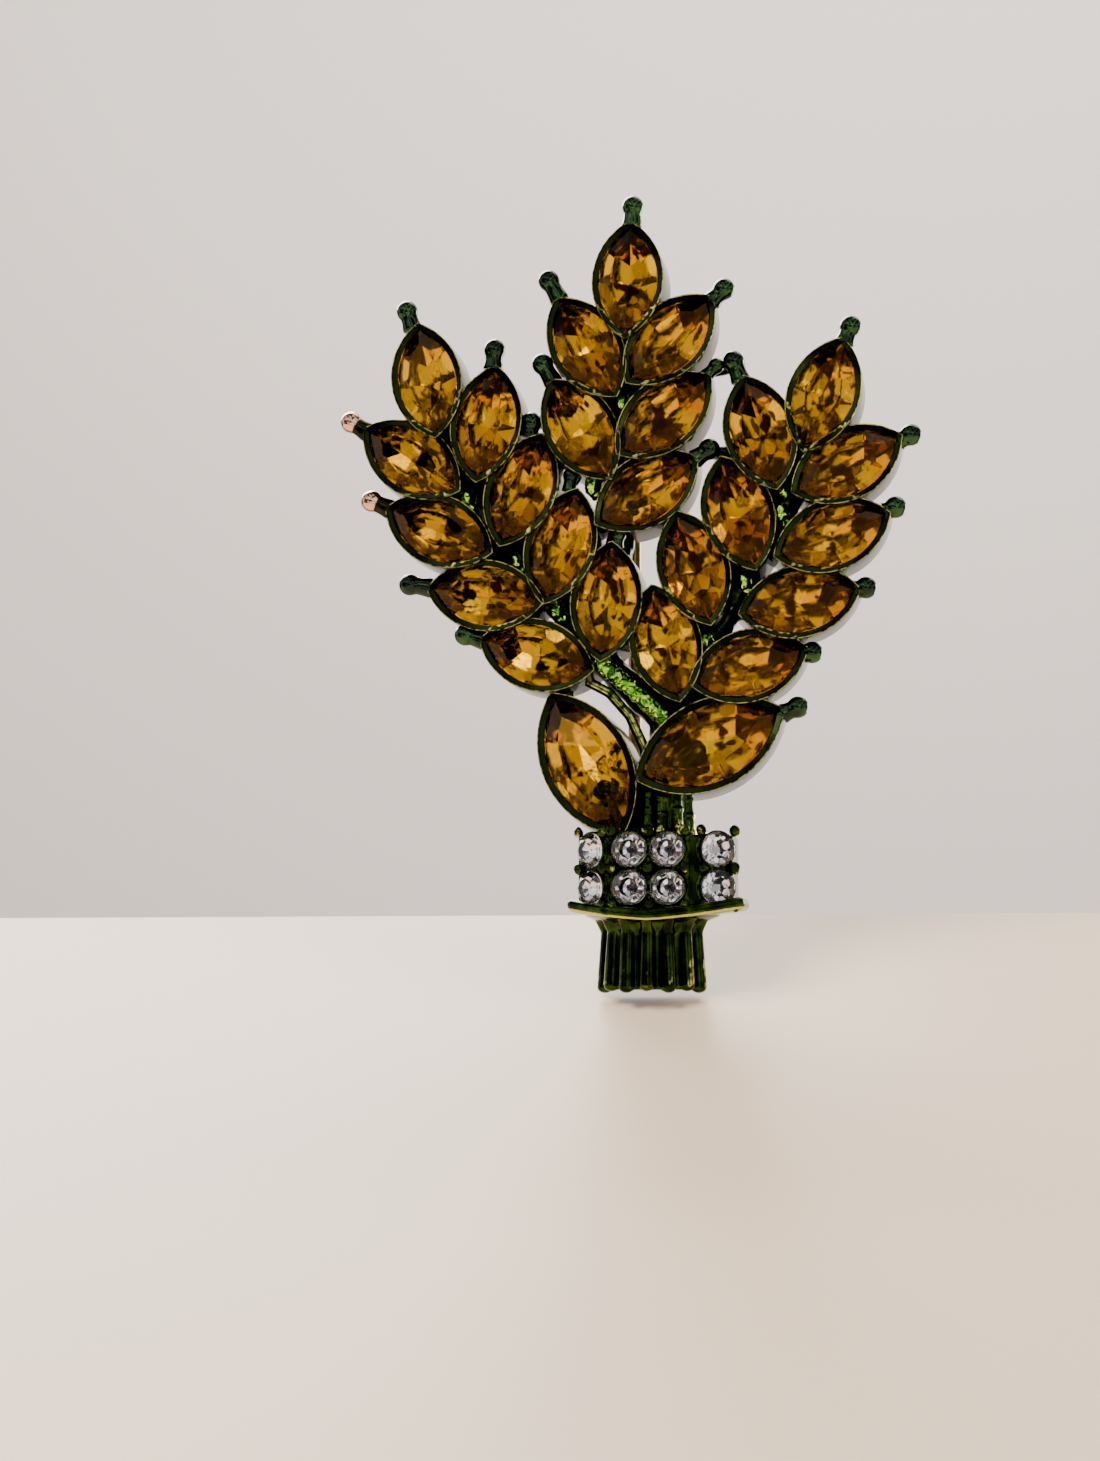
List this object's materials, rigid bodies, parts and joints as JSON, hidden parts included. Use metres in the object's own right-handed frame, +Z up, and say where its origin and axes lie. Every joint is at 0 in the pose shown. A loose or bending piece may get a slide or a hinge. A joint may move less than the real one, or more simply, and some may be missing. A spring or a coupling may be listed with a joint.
{
  "type": "brooch",
  "caption": "Wheat-sheaf brooch in antiqued dark green metal, set with amber and clear glass, with a swinging pin and a turning safety lock behind.",
  "frame": {"origin": "middle of the flat back of the stalk bundle, under the tie band", "axes": "+Z up towards the middle ear's top awn, -Y out of the stones, +Y out of the back towards the cloth, +X to the viewer's right"},
  "size_m": [0.0394, 0.0102, 0.054],
  "materials": {
    "casting": "antiqued dark green enamel over plated casting, edges worn to pale gold",
    "amber_glass": "faceted, foil backed",
    "clear_glass": "faceted, foil backed",
    "pin_metal": "satin, gold coloured"
  },
  "bodies": {
    "root": {"band_stone_lower_1": "clear_glass", "band_stone_lower_2": "clear_glass", "band_stone_lower_3": "clear_glass", "band_stone_lower_4": "clear_glass", "band_stone_upper_1": "clear_glass", "band_stone_upper_2": "clear_glass", "band_stone_upper_3": "clear_glass", "band_stone_upper_4": "clear_glass", "catch_body": "pin_metal", "frame_casting": "casting", "grain_stone_left_1": "amber_glass", "grain_stone_left_2": "amber_glass", "grain_stone_left_3": "amber_glass", "grain_stone_left_4": "amber_glass", "grain_stone_left_5": "amber_glass", "grain_stone_left_6": "amber_glass", "grain_stone_left_7": "amber_glass", "grain_stone_left_8": "amber_glass", "grain_stone_left_9": "amber_glass", "grain_stone_middle_1": "amber_glass", "grain_stone_middle_2": "amber_glass", "grain_stone_middle_3": "amber_glass", "grain_stone_middle_4": "amber_glass", "grain_stone_middle_5": "amber_glass", "grain_stone_middle_6": "amber_glass", "grain_stone_right_1": "amber_glass", "grain_stone_right_2": "amber_glass", "grain_stone_right_3": "amber_glass", "grain_stone_right_4": "amber_glass", "grain_stone_right_5": "amber_glass", "grain_stone_right_6": "amber_glass", "grain_stone_right_7": "amber_glass", "grain_stone_right_8": "amber_glass", "grain_stone_right_9": "amber_glass", "hinge_rivet": "pin_metal", "leaf_stone_left": "amber_glass", "leaf_stone_right": "amber_glass", "pin_joint": "pin_metal"},
    "pin": {"pin_stem": "pin_metal"},
    "lock": {"catch_lock": "pin_metal"}
  },
  "joints": [
    {"name": "pin_swing", "type": "hinge", "parent": "root", "child": "pin", "pos_m": [-0.0016, 0.003, 0.04019], "axis": [1, 0, 0], "range_deg": [0, 100]},
    {"name": "lock_turn", "type": "hinge", "parent": "root", "child": "lock", "pos_m": [-0.0016, 0.003, 0.00567], "axis": [0, 0, 1], "range_deg": [0, 105]}
  ]
}
